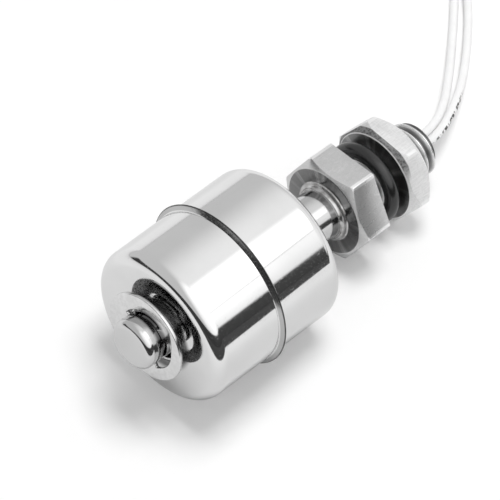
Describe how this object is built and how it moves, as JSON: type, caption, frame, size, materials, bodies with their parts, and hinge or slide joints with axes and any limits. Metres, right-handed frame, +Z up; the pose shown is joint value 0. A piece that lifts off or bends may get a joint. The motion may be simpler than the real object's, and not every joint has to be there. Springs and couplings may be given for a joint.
{
  "type": "float level switch",
  "caption": "Small vertical float level switch: a hollow steel float with a magnet slides on a stem between a retaining clip and a hex plug with a threaded stud, lock nut and wire leads.",
  "frame": {"origin": "on the ground under the middle of the switch's own bounding box, leads left out", "axes": "+Z up, +X along the ground from the stem's tip to the leads' end of the stem; the stem's axis leans 10.57 degrees down towards +X, as the switch lies on its float and lock nut"},
  "size_m": [0.1283, 0.049, 0.0311],
  "materials": {
    "stainless_polished": "polished",
    "float_steel": "mirror polished",
    "stainless_brushed": "fine brushed",
    "spring_steel": "bright",
    "black_rubber": "semi gloss",
    "potting_resin": "gloss",
    "reed_glass": "clear green",
    "plated_blade": "plated",
    "clear_sleeve": "satin",
    "tinned_copper": "tinned",
    "white_insulation": "satin",
    "white_nylon": "satin",
    "ferrite": "sintered"
  },
  "bodies": {
    "stem": {"plug_body": "stainless_brushed", "stem_tube": "stainless_polished", "end_plug": "stainless_polished", "stem_weld": "stainless_polished", "retaining_clip": "spring_steel", "potting": "potting_resin", "reed_glass": "reed_glass", "reed_blade_front": "plated_blade", "reed_blade_rear": "plated_blade", "reed_sleeve": "clear_sleeve", "front_link": "tinned_copper", "rear_link": "tinned_copper", "wire_1_inner": "white_insulation", "wire_2_inner": "white_insulation", "lead_1": "white_insulation", "lead_1_coil": "white_insulation", "lead_1_tip": "tinned_copper", "lead_2": "white_insulation", "lead_2_coil": "white_insulation", "lead_2_tip": "tinned_copper", "coil_tie": "white_nylon"},
    "float_magnet": {"ring_magnet": "ferrite"},
    "float": {"float_front_shell": "float_steel", "float_rear_shell": "float_steel", "float_bore_tube": "float_steel", "magnet_spacer_front": "white_nylon", "magnet_spacer_rear": "white_nylon"},
    "seal_ring": {"seal_ring": "black_rubber"},
    "lock_nut": {"lock_nut": "stainless_brushed"}
  },
  "joints": [
    {"name": "float_travel", "type": "slide", "parent": "stem", "child": "float_magnet", "axis": [0.983, 0, -0.1835], "range_m": [-0.0017, 0.0086]},
    {"name": "float_spin", "type": "hinge", "parent": "float_magnet", "child": "float", "pos_m": [-0.01289, 0, 0.01555], "axis": [0.9904, 0, -0.1384], "continuous": true},
    {"name": "ring_travel", "type": "slide", "parent": "stem", "child": "seal_ring", "axis": [0.983, 0, -0.1835], "range_m": [-0.00251, 0.00551]},
    {"name": "nut_turn", "type": "hinge", "parent": "seal_ring", "child": "lock_nut", "pos_m": [0.02491, 0, 0.00849], "axis": [0.983, 0, -0.1835], "range_deg": [-600, 1320]}
  ],
  "couplings": [
    {"joint": "ring_travel", "follows": "nut_turn", "m_per_rad": 0.00023873}
  ]
}
